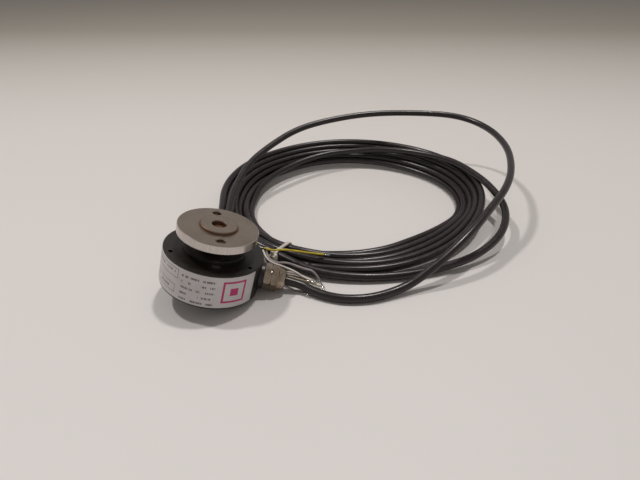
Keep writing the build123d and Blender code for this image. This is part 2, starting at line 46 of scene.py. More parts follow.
# Driving sizes, in millimetres and degrees but for the cable's length
CABLE_D = 5.35
CORE_D = 1.3
SHAFT_POINT = 30.0      # the shaft joint's point, above the rear face
GLAND_Z = 11.0          # gland axis above the rear face
NUT_END = 44.2          # gland nut's mouth, from the shaft's axis
GLAND_FLATS = 14.0
LABEL_R = (29.02, 29.21)    # the film's inner and outer face
LABEL_FOOT = 1.3
LABEL_H = 19.8
LABEL_START = -208.0
LABEL_SWEEP = 180.0
DISC_R = 23.1
HUB_R = 10.7
COIL_CENTRE = np.array([86.0, 113.0])
TURNS = 6
STEPS = 24              # points of each turn
TIED_STEP = 2           # the point of each turn that lies in the tie
TIE_ANGLE = 237.0       # where the tie stands on the coil, about the coil's centre
TIE_REACH = 96.4
TIE_LOW = 4.0           # lowest strands' centres at the tie
STRAP_T = 1.2
STRAP_W = 2.5

# The encoder's own directions: its shaft leans by the shortest turn from upright
spin = next(joint for joint in frame["joints"] if joint["name"] == "shaft_spin")
AXIS = np.array(spin["axis"]) / np.linalg.norm(spin["axis"])


def leant(way):
    """A direction drawn upright, turned by the shortest turn that takes +Z to the shaft's axis."""
    way = np.asarray(way, float)
    middle = AXIS + (0, 0, 1)
    return way - middle * (middle @ way) / (1 + AXIS[2]) + 2 * way[2] * AXIS


TOWARDS_GLAND = leant((1, 0, 0))
SIDE = leant((0, 1, 0))
REAR = np.array(spin["pos_m"]) / MM - SHAFT_POINT * AXIS


def seated(points):
    """Points drawn upright on the rear face, gland along +X, in mm -> metres in the row frame."""
    p = np.asarray(points, float)
    return (REAR + p[..., :1] * TOWARDS_GLAND + p[..., 1:2] * SIDE + p[..., 2:3] * AXIS) * MM


# ---------------------------------------------------------------- meshes

def mesh_piece(name, points, faces, slot, body="stator", replaces=(), sharp_deg=50):
    """One closed mesh piece from points in metres and lists of faces, riding on a body.  Its faces
    point outwards, and it is smooth but for edges sharper than sharp_deg."""
    mesh = bpy.data.meshes.new(name)
    mesh.from_pydata(np.asarray(points).reshape(-1, 3).tolist(), [], faces)
    work = bmesh.new()
    work.from_mesh(mesh)
    bmesh.ops.recalc_face_normals(work, faces=work.faces)
    work.to_mesh(mesh)
    work.free()
    mesh.polygons.foreach_set("use_smooth", [True] * len(mesh.polygons))
    mesh.set_sharp_from_angle(angle=math.radians(sharp_deg))
    mesh.materials.append(MATERIALS[slot])
    piece = bpy.data.objects.new(name, mesh)
    bpy.context.scene.collection.objects.link(piece)
    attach(piece, body)
    if replaces:
        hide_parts(*replaces)
    return piece


def quads(rows, columns, wrap_rows=False, wrap_columns=True, first=0):
    """Faces of a grid of points stored row after row; a wrapped direction closes on itself."""
    r = np.arange(rows if wrap_rows else rows - 1)[:, None]
    c = np.arange(columns if wrap_columns else columns - 1)[None, :]
    r2, c2 = (r + 1) % rows, (c + 1) % columns
    corners = (r * columns + c, r2 * columns + c, r2 * columns + c2, r * columns + c2)
    return (np.stack(corners, -1).reshape(-1, 4) + first).tolist()


def capped(rows, columns, first=0):
    """Faces of a row of closed rings, with a flat face over each end."""
    ends = np.arange(columns) + first
    return quads(rows, columns, first=first) + [ends.tolist(), (ends + (rows - 1) * columns).tolist()]


def tubes(lines, radius, sides=8):
    """Round rods along several lines of points: a ring of points about each point of each line,
    square to the line, at the radius; both ends are capped."""
    lines = np.asarray(lines, float)
    along = np.gradient(lines, axis=1)
    along /= np.linalg.norm(along, axis=2, keepdims=True)
    across = np.cross(along, (0.1, 0.2, 1.0))
    across /= np.linalg.norm(across, axis=2, keepdims=True)
    third = np.cross(along, across)
    angle = (np.arange(sides) * 2 * math.pi / sides)[:, None]
    rings = lines[:, :, None] + radius * (
        across[:, :, None] * np.cos(angle) + third[:, :, None] * np.sin(angle))
    count = lines.shape[1]
    faces = [face for i in range(len(lines)) for face in capped(count, sides, i * count * sides)]
    return rings, faces


# ---------------------------------------------------------------- colours and nodes

def linear(code):
    """An sRGB hex code as linear red, green, blue and alpha."""
    parts = [int(code[i:i + 2], 16) / 255 for i in (0, 2, 4)]
    return [p / 12.92 if p <= 0.04045 else ((p + 0.055) / 1.055) ** 2.4 for p in parts] + [1.0]


def add(tree, kind, inputs=None, out=0, stops=None, **settings):
    """Adds one node and gives its output: inputs are values or sockets, stops a ramp's colours."""
    node = tree.nodes.new("ShaderNode" + kind)
    for name, value in settings.items():
        setattr(node, name, value)
    for name, value in (inputs or {}).items():
        if isinstance(value, bpy.types.NodeSocket):
            tree.links.new(value, node.inputs[name])
        else:
            node.inputs[name].default_value = value
    if stops:
        band = node.color_ramp.elements
        for element, (position, code) in zip(band, (stops[0], stops[-1])):
            element.position = position
            element.color = linear(code)
        for position, code in stops[1:-1]:
            band.new(position).color = linear(code)
    return node.outputs[out]


def start(name, roughness=0.5, metallic=0.0, **sockets):
    """A new material, its node tree and its shader, with the constants on the shader's own sockets."""
    material = bpy.data.materials.new(name)
    material.use_nodes = True
    shader = material.node_tree.nodes["Principled BSDF"]
    shader.inputs["Roughness"].default_value = roughness
    shader.inputs["Metallic"].default_value = metallic
    for socket, value in sockets.items():
        shader.inputs[socket.replace("_", " ")].default_value = value
    return material, material.node_tree, shader


def finish(tree, shader, colour=None, roughness=None, relief=None, depth_mm=0.01, strength=0.6):
    """Links a colour, a roughness and a relief of depth_mm to the shader."""
    if colour is not None:
        tree.links.new(colour, shader.inputs["Base Color"])
    if roughness is not None:
        tree.links.new(roughness, shader.inputs["Roughness"])
    if relief is not None:
        bump = add(tree, "Bump", {"Height": relief, "Distance": depth_mm * MM, "Strength": strength})
        tree.links.new(bump, shader.inputs["Normal"])


def per_mm(size):
    """The scale that makes a texture repeat or change about every size mm."""
    return 1 / (size * MM)


def about_shaft(tree):
    """Distance from the shaft's axis in mm, height above the rear face in mm, and angle about it."""
    place = add(tree, "TexCoord", out="Object")
    away = add(tree, "VectorMath", {0: place, 1: REAR * MM}, operation="SUBTRACT")
    height = add(tree, "VectorMath", {0: away, 1: AXIS / MM}, out="Value", operation="DOT_PRODUCT")
    crossed = add(tree, "VectorMath", {0: away, 1: AXIS / MM}, operation="CROSS_PRODUCT")
    radius = add(tree, "VectorMath", {0: crossed}, out="Value", operation="LENGTH")
    right = add(tree, "VectorMath", {0: away, 1: TOWARDS_GLAND}, out="Value", operation="DOT_PRODUCT")
    back = add(tree, "VectorMath", {0: away, 1: SIDE}, out="Value", operation="DOT_PRODUCT")
    angle = add(tree, "Math", {0: back, 1: right}, operation="ARCTAN2")
    return radius, height, angle


# ---------------------------------------------------------------- materials

def anodised_aluminium():
    """Black anodised aluminium, turned: satin warm black, faint turning lines, paler dusty patches."""
    feed_mm = 0.5
    material, tree, shader = start("black_anodised_aluminium", 0.34)
    radius, height, _ = about_shaft(tree)
    place = add(tree, "TexCoord", out="Object")
    dust = add(tree, "TexNoise", {"Vector": place, "Scale": per_mm(7.0), "Detail": 6.0, "Roughness": 0.65})
    colour = add(tree, "ValToRGB", {0: dust}, stops=[(0.35, "17120f"), (0.62, "1d1715"), (0.85, "37302d")])
    gloss = add(tree, "MapRange", {0: dust, 1: 0.3, 2: 0.75, 3: 0.26, 4: 0.46})
    # turning lines: the real feed is about 0.1 mm, drawn coarser so that it shows
    path = add(tree, "Math", {0: radius, 1: height}, operation="ADD")
    lines = add(tree, "TexNoise", {"W": path, "Scale": 1 / feed_mm, "Detail": 1.0}, noise_dimensions="1D")
    finish(tree, shader, colour, gloss, lines, 0.012, 0.5)
    return material


def turned_disc_steel():
    """Turned and nickel-flashed steel: a brownish mirror-satin face with fine rings, a ground rim
    painted brighter with upright streaks of painted highlight, brown rust round the hub's edge and in the bore."""
    streak_mm = 1.0
    ring_mm = 0.3
    rust_half_width = 0.75
    bore_edge = 4.5
    material, tree, shader = start("turned_steel", 0.25, 1.0)
    radius, _, angle = about_shaft(tree)
    place = add(tree, "TexCoord", out="Object")
    patches = add(tree, "TexNoise", {"Vector": place, "Scale": per_mm(14.0), "Detail": 5.0,
                                     "Roughness": 0.55})
    face = add(tree, "ValToRGB", {0: patches}, stops=[(0.3, "998a7e"), (0.5, "a6998d"), (0.75, "b2a69b")])
    # painted highlight: the rim is painted brighter, with upright highlight streaks across it, drawn coarser than
    # real grinding marks so that they show
    turn = add(tree, "Math", {0: angle, 1: DISC_R / streak_mm}, operation="MULTIPLY")
    highlight_streaks = add(tree, "TexNoise", {"W": turn, "Scale": 1.0, "Detail": 3.0}, noise_dimensions="1D")
    rim_highlight = add(tree, "ValToRGB", {0: highlight_streaks}, stops=[(0.3, "c0b8b2"), (0.7, "cec7c1")])
    on_rim = add(tree, "MapRange", {0: radius, 1: DISC_R - 0.5, 2: DISC_R - 0.15})
    metal = add(tree, "Mix", {0: on_rim, 6: face, 7: rim_highlight}, out=2, data_type="RGBA")
    # rust: in a band 1.5 mm wide round the hub's edge, and inside the bore
    ragged = add(tree, "MapRange", {0: patches, 1: 0.3, 2: 0.7, 3: 0.5, 4: 1.3})
    at_hub = add(tree, "Math", {0: radius, 1: HUB_R + 0.1, 2: rust_half_width}, operation="COMPARE")
    in_bore = add(tree, "Math", {0: radius, 1: bore_edge}, operation="LESS_THAN")
    spots = add(tree, "Math", {0: at_hub, 1: in_bore}, operation="MAXIMUM")
    rust = add(tree, "Math", {0: spots, 1: ragged}, operation="MULTIPLY", use_clamp=True)
    rust_part = add(tree, "Math", {0: rust, 1: 0.8}, operation="MULTIPLY")
    brown = add(tree, "ValToRGB", {0: patches}, stops=[(0.35, "4d3a30"), (0.65, "80614d")])
    colour = add(tree, "Mix", {0: rust_part, 6: metal, 7: brown}, out=2, data_type="RGBA")
    gloss = add(tree, "MapRange", {0: patches, 1: 0.3, 2: 0.7, 3: 0.33, 4: 0.22})
    dull = add(tree, "Math", {0: rust_part, 1: 0.3, 2: gloss}, operation="MULTIPLY_ADD")
    # facing rings, drawn coarser than the real feed so that they show
    rings = add(tree, "TexNoise", {"W": radius, "Scale": 1 / ring_mm, "Detail": 2.0}, noise_dimensions="1D")
    finish(tree, shader, colour, dull, rings, 0.004, 0.35)
    return material


def extruded_jacket():
    """Extruded black PVC: warm black, a soft sheen along its length, dusty scuffs and a dull skin."""
    material, tree, shader = start("extruded_pvc_jacket", 0.3, Specular_IOR_Level=0.55)
    place = add(tree, "TexCoord", out="Object")
    scuffs = add(tree, "TexNoise", {"Vector": place, "Scale": per_mm(5.0), "Detail": 6.0, "Roughness": 0.7})
    colour = add(tree, "ValToRGB", {0: scuffs}, stops=[(0.35, "181012"), (0.6, "1f1618"), (0.85, "31282a")])
    gloss = add(tree, "MapRange", {0: scuffs, 1: 0.3, 2: 0.7, 3: 0.24, 4: 0.38})
    skin = add(tree, "TexNoise", {"Vector": place, "Scale": per_mm(0.9), "Detail": 2.0})
    finish(tree, shader, colour, gloss, skin, 0.02, 0.5)
    return material


def nickel_plate():
    """Nickel-plated turned brass: bright and warm, with darker tarnish in patches and a ripple."""
    material, tree, shader = start("nickel_plated_brass", 0.2, 1.0)
    place = add(tree, "TexCoord", out="Object")
    tarnish = add(tree, "TexNoise", {"Vector": place, "Scale": per_mm(6.0), "Detail": 3.0,
                                     "Roughness": 0.5})
    colour = add(tree, "ValToRGB", {0: tarnish},
                 stops=[(0.3, "8f7f6f"), (0.55, "ab9c8b"), (0.75, "c4b7a8")])
    gloss = add(tree, "MapRange", {0: tarnish, 1: 0.3, 2: 0.7, 3: 0.26, 4: 0.16})
    ripple = add(tree, "TexNoise", {"Vector": place, "Scale": per_mm(1.3), "Detail": 2.0})
    finish(tree, shader, colour, gloss, ripple, 0.008, 0.3)
    return material


def printed_label():
    """Silver-grey polyester film with plain print: ruled boxes, rows of bars in place of words and
    one magenta square.  The sheet's own map gives mm along it and above its foot."""
    material, tree, shader = start("printed_polyester_film", 0.32)
    row_pitch = 3.6
    row_shift = 5.3     # how far each row reads on in the noise, so that no two rows are alike
    word_scale = 0.33   # words about 3 mm long
    stroke_scale = 1.9  # strokes about 0.5 mm wide
    print_map = add(tree, "UVMap", uv_map="print_mm")
    u = add(tree, "SeparateXYZ", {0: print_map})
    v = add(tree, "SeparateXYZ", {0: print_map}, out=1)

    def box(u_low, u_high, v_low, v_high):
        """1 inside a rectangle given in mm."""
        across = add(tree, "Math", {0: u, 1: (u_low + u_high) / 2, 2: (u_high - u_low) / 2},
                     operation="COMPARE")
        up = add(tree, "Math", {0: v, 1: (v_low + v_high) / 2, 2: (v_high - v_low) / 2},
                 operation="COMPARE")
        return add(tree, "Math", {0: across, 1: up}, operation="MULTIPLY")

    def outline(u_low, u_high, v_low, v_high, line):
        """1 on the ruled edge of a rectangle."""
        hole = box(u_low + line, u_high - line, v_low + line, v_high - line)
        return add(tree, "Math", {0: box(u_low, u_high, v_low, v_high), 1: hole}, operation="SUBTRACT")

    def joined(masks):
        """1 where any mask is 1."""
        total = masks[0]
        for mask in masks[1:]:
            total = add(tree, "Math", {0: total, 1: mask}, operation="MAXIMUM")
        return total

    # rows of bars: each row is cut into words, and each word into strokes
    row = add(tree, "Math", {0: v, 1: 1 / row_pitch}, operation="MULTIPLY")
    row_number = add(tree, "Math", {0: row}, operation="FLOOR")
    in_row = add(tree, "Math", {0: row}, operation="FRACT")
    on_bar = add(tree, "Math", {0: in_row, 1: 0.5, 2: 0.18}, operation="COMPARE")
    row_start = add(tree, "Math", {0: row_number, 1: row_shift}, operation="MULTIPLY")
    spot = add(tree, "CombineXYZ", {0: u, 1: row_start})
    words = add(tree, "TexNoise", {"Vector": spot, "Scale": word_scale, "Detail": 0.0},
                noise_dimensions="2D")
    strokes = add(tree, "TexNoise", {"Vector": spot, "Scale": stroke_scale, "Detail": 0.0},
                  noise_dimensions="2D")
    word = add(tree, "Math", {0: words, 1: 0.42}, operation="GREATER_THAN")
    stroke = add(tree, "Math", {0: strokes, 1: 0.40}, operation="GREATER_THAN")
    bars = add(tree, "Math", {0: word, 1: stroke}, operation="MULTIPLY")
    bars = add(tree, "Math", {0: bars, 1: on_bar}, operation="MULTIPLY")
    areas = joined([box(47.5, 67.0, 1.0, 18.6), box(11.0, 43.5, 13.6, 17.4), box(14.0, 42.0, 4.0, 7.4)])
    bars = add(tree, "Math", {0: bars, 1: areas}, operation="MULTIPLY")
    ink = joined([bars, outline(8.0, 45.5, 12.6, 18.4, 0.35), outline(8.0, 44.0, 3.0, 8.2, 0.35)])
    ink_part = add(tree, "Math", {0: ink, 1: 0.78}, operation="MULTIPLY")
    mark = joined([outline(71.0, 85.0, 3.2, 17.2, 1.3), box(75.6, 80.4, 7.8, 12.6)])
    place = add(tree, "TexCoord", out="Object")
    wear = add(tree, "TexNoise", {"Vector": place, "Scale": per_mm(9.0), "Detail": 5.0})
    film = add(tree, "ValToRGB", {0: wear}, stops=[(0.3, "bdb8b8"), (0.7, "cbc6c6")])
    printed = add(tree, "Mix", {0: ink_part, 6: film, 7: linear("3c3839")}, out=2, data_type="RGBA")
    marked = add(tree, "Mix", {0: mark, 6: printed, 7: linear("b02565")}, out=2, data_type="RGBA")
    gloss = add(tree, "MapRange", {0: wear, 1: 0.3, 2: 0.7, 3: 0.27, 4: 0.4})
    finish(tree, shader, marked, gloss, wear, 0.01, 0.3)
    return material


def code_glass():
    """Glass with a chromium track: 120 lines stand for the real ones, too fine to show."""
    material, tree, shader = start("code_disc_glass", 0.06, Transmission_Weight=0.85)
    code_lines = 120
    track_radius, track_half_width = 12.5, 1.1
    radius, _, angle = about_shaft(tree)
    turn = add(tree, "Math", {0: angle, 1: code_lines / (2 * math.pi)}, operation="MULTIPLY")
    wave = add(tree, "Math", {0: turn}, operation="FRACT")
    line = add(tree, "Math", {0: wave, 1: 0.5}, operation="GREATER_THAN")
    track = add(tree, "Math", {0: radius, 1: track_radius, 2: track_half_width}, operation="COMPARE")
    chrome = add(tree, "Math", {0: line, 1: track}, operation="MULTIPLY")
    colour = add(tree, "ValToRGB", {0: chrome}, stops=[(0.0, "dfe8e6"), (1.0, "26282a")])
    finish(tree, shader, colour)
    return material


def board_laminate():
    """Glass-epoxy board under green solder mask, with tracks 0.4 mm wide showing paler through it."""
    material, tree, shader = start("solder_masked_laminate", 0.3)
    place = add(tree, "TexCoord", out="Object")
    flat = add(tree, "VectorMath", {0: place, 1: (1 / MM, 1 / MM, 0)}, operation="MULTIPLY")
    tracks = add(tree, "TexBrick", {"Vector": flat, "Color1": linear("1a5230"), "Color2": linear("1d5a34"),
                                    "Mortar": linear("3c8252"), "Scale": 1.0, "Mortar Size": 0.2,
                                    "Brick Width": 5.2, "Row Height": 1.7}, offset=0.37)
    weave = add(tree, "TexNoise", {"Vector": place, "Scale": per_mm(0.7), "Detail": 2.0})
    finish(tree, shader, tracks, None, weave, 0.01, 0.3)
    return material


def simple(name, dark, light, roughness, metallic=0.0, size_mm=1.5, depth_mm=0.006, **sockets):
    """A moulded, drawn, plated or ground surface: its colour and gloss drift between two near
    tones over a few times size_mm, and its skin is uneven by depth_mm."""
    material, tree, shader = start(name, roughness, metallic, **sockets)
    place = add(tree, "TexCoord", out="Object")
    drift = add(tree, "TexNoise", {"Vector": place, "Scale": per_mm(size_mm * 3), "Detail": 4.0})
    colour = add(tree, "ValToRGB", {0: drift}, stops=[(0.3, dark), (0.7, light)])
    gloss = add(tree, "MapRange", {0: drift, 1: 0.3, 2: 0.7, 3: roughness + 0.07, 4: roughness - 0.04})
    skin = add(tree, "TexNoise", {"Vector": place, "Scale": per_mm(size_mm), "Detail": 2.0})
    finish(tree, shader, colour, gloss, skin, depth_mm, 0.5)
    return material


MATERIALS = {
    "black_anodised": anodised_aluminium(),
    "disc_steel": turned_disc_steel(),
    "nickel_brass": nickel_plate(),
    "cable_jacket": extruded_jacket(),
    "label_film": printed_label(),
    "optic_glass": code_glass(),
    "board_laminate": board_laminate(),
    # ground steel with old oil and rust on it: dull brown with brighter rubbed places
    "shaft_steel": simple("rusted_ground_steel", "5a3420", "b08a6c", 0.3, 1.0, 1.2, 0.02),
    # moulded natural nylon: milky, slightly see-through
    "tie_nylon": simple("natural_nylon", "b3ada5", "cdc7bf", 0.34, Subsurface_Weight=0.2,
                        Subsurface_Scale=0.002),
    # extruded PVC insulation of the cores: clean colour, soft gloss
    "core_yellow": simple("yellow_pvc", "b39d12", "d0bb28", 0.34),
    "core_white": simple("white_pvc", "bdb7b0", "dcd7cf", 0.34),
    "core_grey": simple("grey_pvc", "7e7878", "a09999", 0.34),
    "core_pink": simple("pink_pvc", "b3a5a0", "cfc2bb", 0.34),
    "core_brown": simple("brown_pvc", "4b2c1d", "6f4630", 0.34),
    "core_cream": simple("cream_pvc", "bfb394", "dcd2b6", 0.34),
    "core_green": simple("green_pvc", "123d27", "1f5c3b", 0.34),
    # drawn copper strands dipped in tin: bright, a little grey
    "tinned_wire": simple("tinned_copper", "a9a6a2", "e2e0dc", 0.2, 1.0, 0.4, 0.01),
    # hardened and ground steel: near mirror
    "bearing_steel": simple("ground_bearing_steel", "b5b6b8", "cfd0d1", 0.12, 1.0, 2.0, 0.002),
    "cage_brass": simple("machined_brass", "a07a38", "c9a45a", 0.28, 1.0),
    # spring steel with a phosphate skin: dull dark grey
    "spring_steel": simple("phosphated_spring_steel", "3a3836", "565350", 0.45, 0.8),
    "seal_rubber": simple("moulded_nitrile_rubber", "0e0e0e", "1c1b1b", 0.58),
    # zinc-plated steel: bluish grey, a bit uneven
    "screw_steel": simple("zinc_plated_steel", "85868a", "b1b2b5", 0.32, 1.0, 0.8),
    "chip_epoxy": simple("moulded_epoxy", "151516", "232325", 0.5),
    "chip_ceramic": simple("sintered_ceramic", "8a6c4a", "b5946c", 0.5),
    "bracket_plastic": simple("glass_filled_plastic", "1d1d20", "2e2e33", 0.5),
    "led_resin": simple("clear_cast_resin", "a89f92", "cbc3b6", 0.12, Transmission_Weight=0.5),
    "terminal_plastic": simple("moulded_polyamide", "1f5636", "2c7047", 0.45),
    "gland_nylon": simple("gland_polyamide", "a9a59c", "c4c0b8", 0.45),
}
SLOT_OF = {row["node"]: row["material_slot"] for row in frame["record"]["subparts"]}
for node_name, node in frame["nodes"].items():
    node.data.materials.clear()
    node.data.materials.append(MATERIALS[SLOT_OF[node_name]])


# ---------------------------------------------------------------- camera

def make_camera():
    """A camera 17 cm above the table and 24 cm in front of the encoder, tilted 30 degrees down."""
    tilt_down = 30
    data = bpy.data.cameras.new("view")
    data.lens = 27.0
    data.sensor_width = 36.0
    camera = bpy.data.objects.new("view", data)
    bpy.context.scene.collection.objects.link(camera)
    camera.location = (0.0572, -0.2384, 0.1725)
    camera.rotation_euler = (math.radians(90 - tilt_down), 0, 0)
    bpy.context.scene.camera = camera


make_camera()


# ---------------------------------------------------------------- cords

def controls(points):
    """Control points of an order-3 spline that passes its given points.  Over a control the
    spline is 1/8 of the one before, 6/8 of it and 1/8 of the next; beside an end it is 2/8, 5/8, 1/8."""
    points = np.asarray(points, float)
    count = len(points)
    share = np.eye(count)
    for i in range(1, count - 1):
        share[i, i - 1:i + 2] = (0.125, 0.75, 0.125)
    share[1, :3] = (0.25, 0.625, 0.125)
    share[-2, -3:] = (0.125, 0.625, 0.25)
    return np.linalg.solve(share, points)


def spline_curve(name, points):
    """An open spline of order 3 that passes the points, in metres."""
    curve = bpy.data.curves.new(name, "CURVE")
    curve.dimensions = "3D"
    spline = curve.splines.new("NURBS")
    spline.points.add(len(points) - 1)
    for control, point in zip(spline.points, controls(points)):
        control.co = (*point, 1.0)
    spline.order_u = 3
    spline.use_endpoint_u = True
    spline.resolution_u = 6
    piece = bpy.data.objects.new(name, curve)
    bpy.context.scene.collection.objects.link(piece)
    return piece


def line_of(points):
    """The points along the spline itself, read back from a copy with no thickness."""
    helper = spline_curve("route_helper", points)
    mesh = bpy.data.meshes.new_from_object(helper)
    line = np.array([vertex.co for vertex in mesh.vertices])
    bpy.data.objects.remove(helper)
    bpy.data.meshes.remove(mesh)
    return line


def cord_piece(name, points, diameter, slot, replaced):
    """A round cord of a diameter in mm through points in metres, standing for CAD nodes."""
    piece = spline_curve(name, points)
    piece.data.bevel_depth = diameter * MM / 2
    piece.data.bevel_resolution = 6
    piece.data.use_fill_caps = True
    piece.data.materials.append(MATERIALS[slot])
    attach(piece, "stator")
    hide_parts(*replaced)
    return piece


def around(stations, angle):
    """A value round the coil from (angle, value) stations: it eases from each to the next."""
    stations = sorted((a % 360, v) for a, v in stations)
    at = np.array([a for a, _ in stations])
    size = np.array([v for _, v in stations])
    at = np.concatenate([at - 360, at, at + 360])
    size = np.concatenate([size] * 3)
    angle = np.asarray(angle) % 360
    i = np.searchsorted(at, angle, side="right") - 1
    share = (angle - at[i]) / (at[i + 1] - at[i])
    share = share * share * (3 - 2 * share)
    return size[i] * (1 - share) + size[i + 1] * share


# Across the bundle at the tie: two layers of three, each strand between the two below it
TIE_PLACES = np.array([
    (TIE_REACH + CABLE_D * (k - 2.5) / 2, TIE_LOW + (k % 2) * CABLE_D * math.sqrt(3) / 2)
    for k in range(TURNS)])


def coil_turns():
    """The tied turns.  Each turn has a rank across the bundle, 0 innermost, and moves out one rank
    on the coil's left; a rank is some mm further out and higher than the last, by the angle.  The
    first turn goes its own way: outside at the front, out to the right, over the back and down the
    inside.  Turns nearer than a diameter then push each other apart and stay smooth."""
    rounds, clearance, push_share, smoothing = 500, 1.01, 0.4, 0.06
    first_pull, other_pull = 0.16, 0.07     # how firmly a turn keeps to its own place in a round
    change_from, change_to = 98, 187        # a turn changes its rank between these angles
    step = 360 / STEPS
    angle = TIE_ANGLE - TIED_STEP * step + np.arange(STEPS) * step
    inner = around([(255, 78.0), (276, 72.5), (304, 65.0), (323, 68.5), (350, 79.6), (0, 83.0), (27, 88.0),
                    (56, 88.0), (98, 88.5), (145, 84.0), (187, 79.2), (211, 83.6)], angle)
    out_by = around([(255, 4.9), (276, 5.7), (304, 6.6), (323, 5.2), (350, 3.0), (27, 2.9), (56, 3.6),
                     (98, 4.2), (187, 4.4), (211, 4.2)], angle)
    up_by = around([(255, 0.6), (276, 0.1), (304, 0.1), (323, 1.3), (350, 3.0), (0, 3.4), (27, 3.4),
                    (98, 3.1), (145, 2.8), (187, 2.0), (211, 1.2)], angle)
    moving = np.clip((angle - 360 - change_from) / (change_to - change_from), 0, 1)
    moving = moving * moving * (3 - 2 * moving)
    rank = np.arange(TURNS)[:, None] - 1 + moving
    reach = inner + CABLE_D / 2 + out_by * rank
    lift = around([(255, 0.3), (276, 1.5), (304, 3.0), (323, 2.5), (350, 0.5), (27, 2.0), (98, 4.5),
                   (145, 2.5), (187, 0)], angle)
    high = CABLE_D / 2 + lift + up_by * rank
    reach[0] = around([(207, 105), (222, 104), (255, 105), (276, 104.5), (288, 103), (304, 107),
                       (311, 111.3), (320, 115), (330, 117), (340, 115.5), (348, 110), (356, 103.5),
                       (10, 96), (25, 96), (56, 94), (98, 90), (145, 85), (187, 81.9)], angle)
    high[0] = around([(207, 13), (222, 12), (255, 4), (276, 2.7), (288, 2.7), (304, 4), (311, 5), (320, 8),
                      (330, 12), (340, 16), (348, 20), (356, 22), (10, 24), (25, 24), (56, 20), (98, 15),
                      (145, 8), (187, 2.7)], angle)
    places = TIE_PLACES[[TURNS - 1] + list(range(TURNS - 1))]
    want_reach, want_high = reach.copy(), high.copy()
    pull = np.array([first_pull] + [other_pull] * (TURNS - 1))[:, None]
    for _ in range(rounds):
        gap_r = reach[:, None] - reach[None]
        gap_z = high[:, None] - high[None]
        gap = np.sqrt(gap_r**2 + gap_z**2) + 1e-6
        push = np.clip(CABLE_D * clearance - gap, 0, None) * (1 - np.eye(TURNS))[:, :, None] * push_share
        reach = reach + (push * gap_r / gap).sum(1) + pull * (want_reach - reach)
        high = high + (push * gap_z / gap).sum(1) + pull * (want_high - high)
        for line in (reach, high):
            run = line.reshape(-1)
            run[1:-1] += smoothing * (run[:-2] + run[2:] - 2 * run[1:-1])
        reach[:, TIED_STEP], high[:, TIED_STEP] = places[:, 0], places[:, 1]
        high = np.maximum(high, CABLE_D / 2)
    turn = np.radians(angle)
    x = COIL_CENTRE[0] + reach * np.cos(turn)
    y = COIL_CENTRE[1] + reach * np.sin(turn)
    return np.stack([x, y, high], -1).reshape(-1, 3)


EXIT = seated([NUT_END, 0, GLAND_Z])
LEAD_POINTS = [
    (44.8, -1.7, 4.9), (52.5, -5.6, 3.4), (61.5, -10.2, 2.8), (73.0, -13.0, 2.7), (88.0, -11.6, 2.8),
    (104.0, -5.4, 3.8), (117.0, 1.0, 7.6), (132.0, 9.6, 15.4), (152.0, 26.0, 25.0), (171.0, 49.0, 31.0),
    (188.0, 73.0, 35.0), (202.0, 104.0, 38.0), (211.0, 145.0, 41.0), (207.0, 186.0, 44.0),
    (186.0, 212.0, 47.0), (150.0, 220.0, 48.0), (106.0, 217.0, 48.0), (67.0, 207.0, 45.0),
    (37.0, 190.0, 41.0), (15.0, 165.0, 35.0), (0.0, 140.0, 29.0), (-7.0, 116.0, 23.0),
    (-9.6, 96.0, 18.4), (-9.6, 80.0, 15.2),
]
TAIL_POINTS = [
    (-15.0, 78.0, 11.8), (-13.8, 64.4, 11.4), (-8.2, 52.2, 12.0), (-0.6, 42.0, 12.6), (7.0, 34.6, 13.4),
    (14.6, 29.0, 13.6), (21.5, 24.5, 13.2),
]
cable_points = np.concatenate([[EXIT / MM], LEAD_POINTS, coil_turns(), TAIL_POINTS]) * MM
cable = cord_piece("cable", cable_points, CABLE_D, "cable_jacket",
                   ["cable_lead", "cable_coil", "cable_tail"])


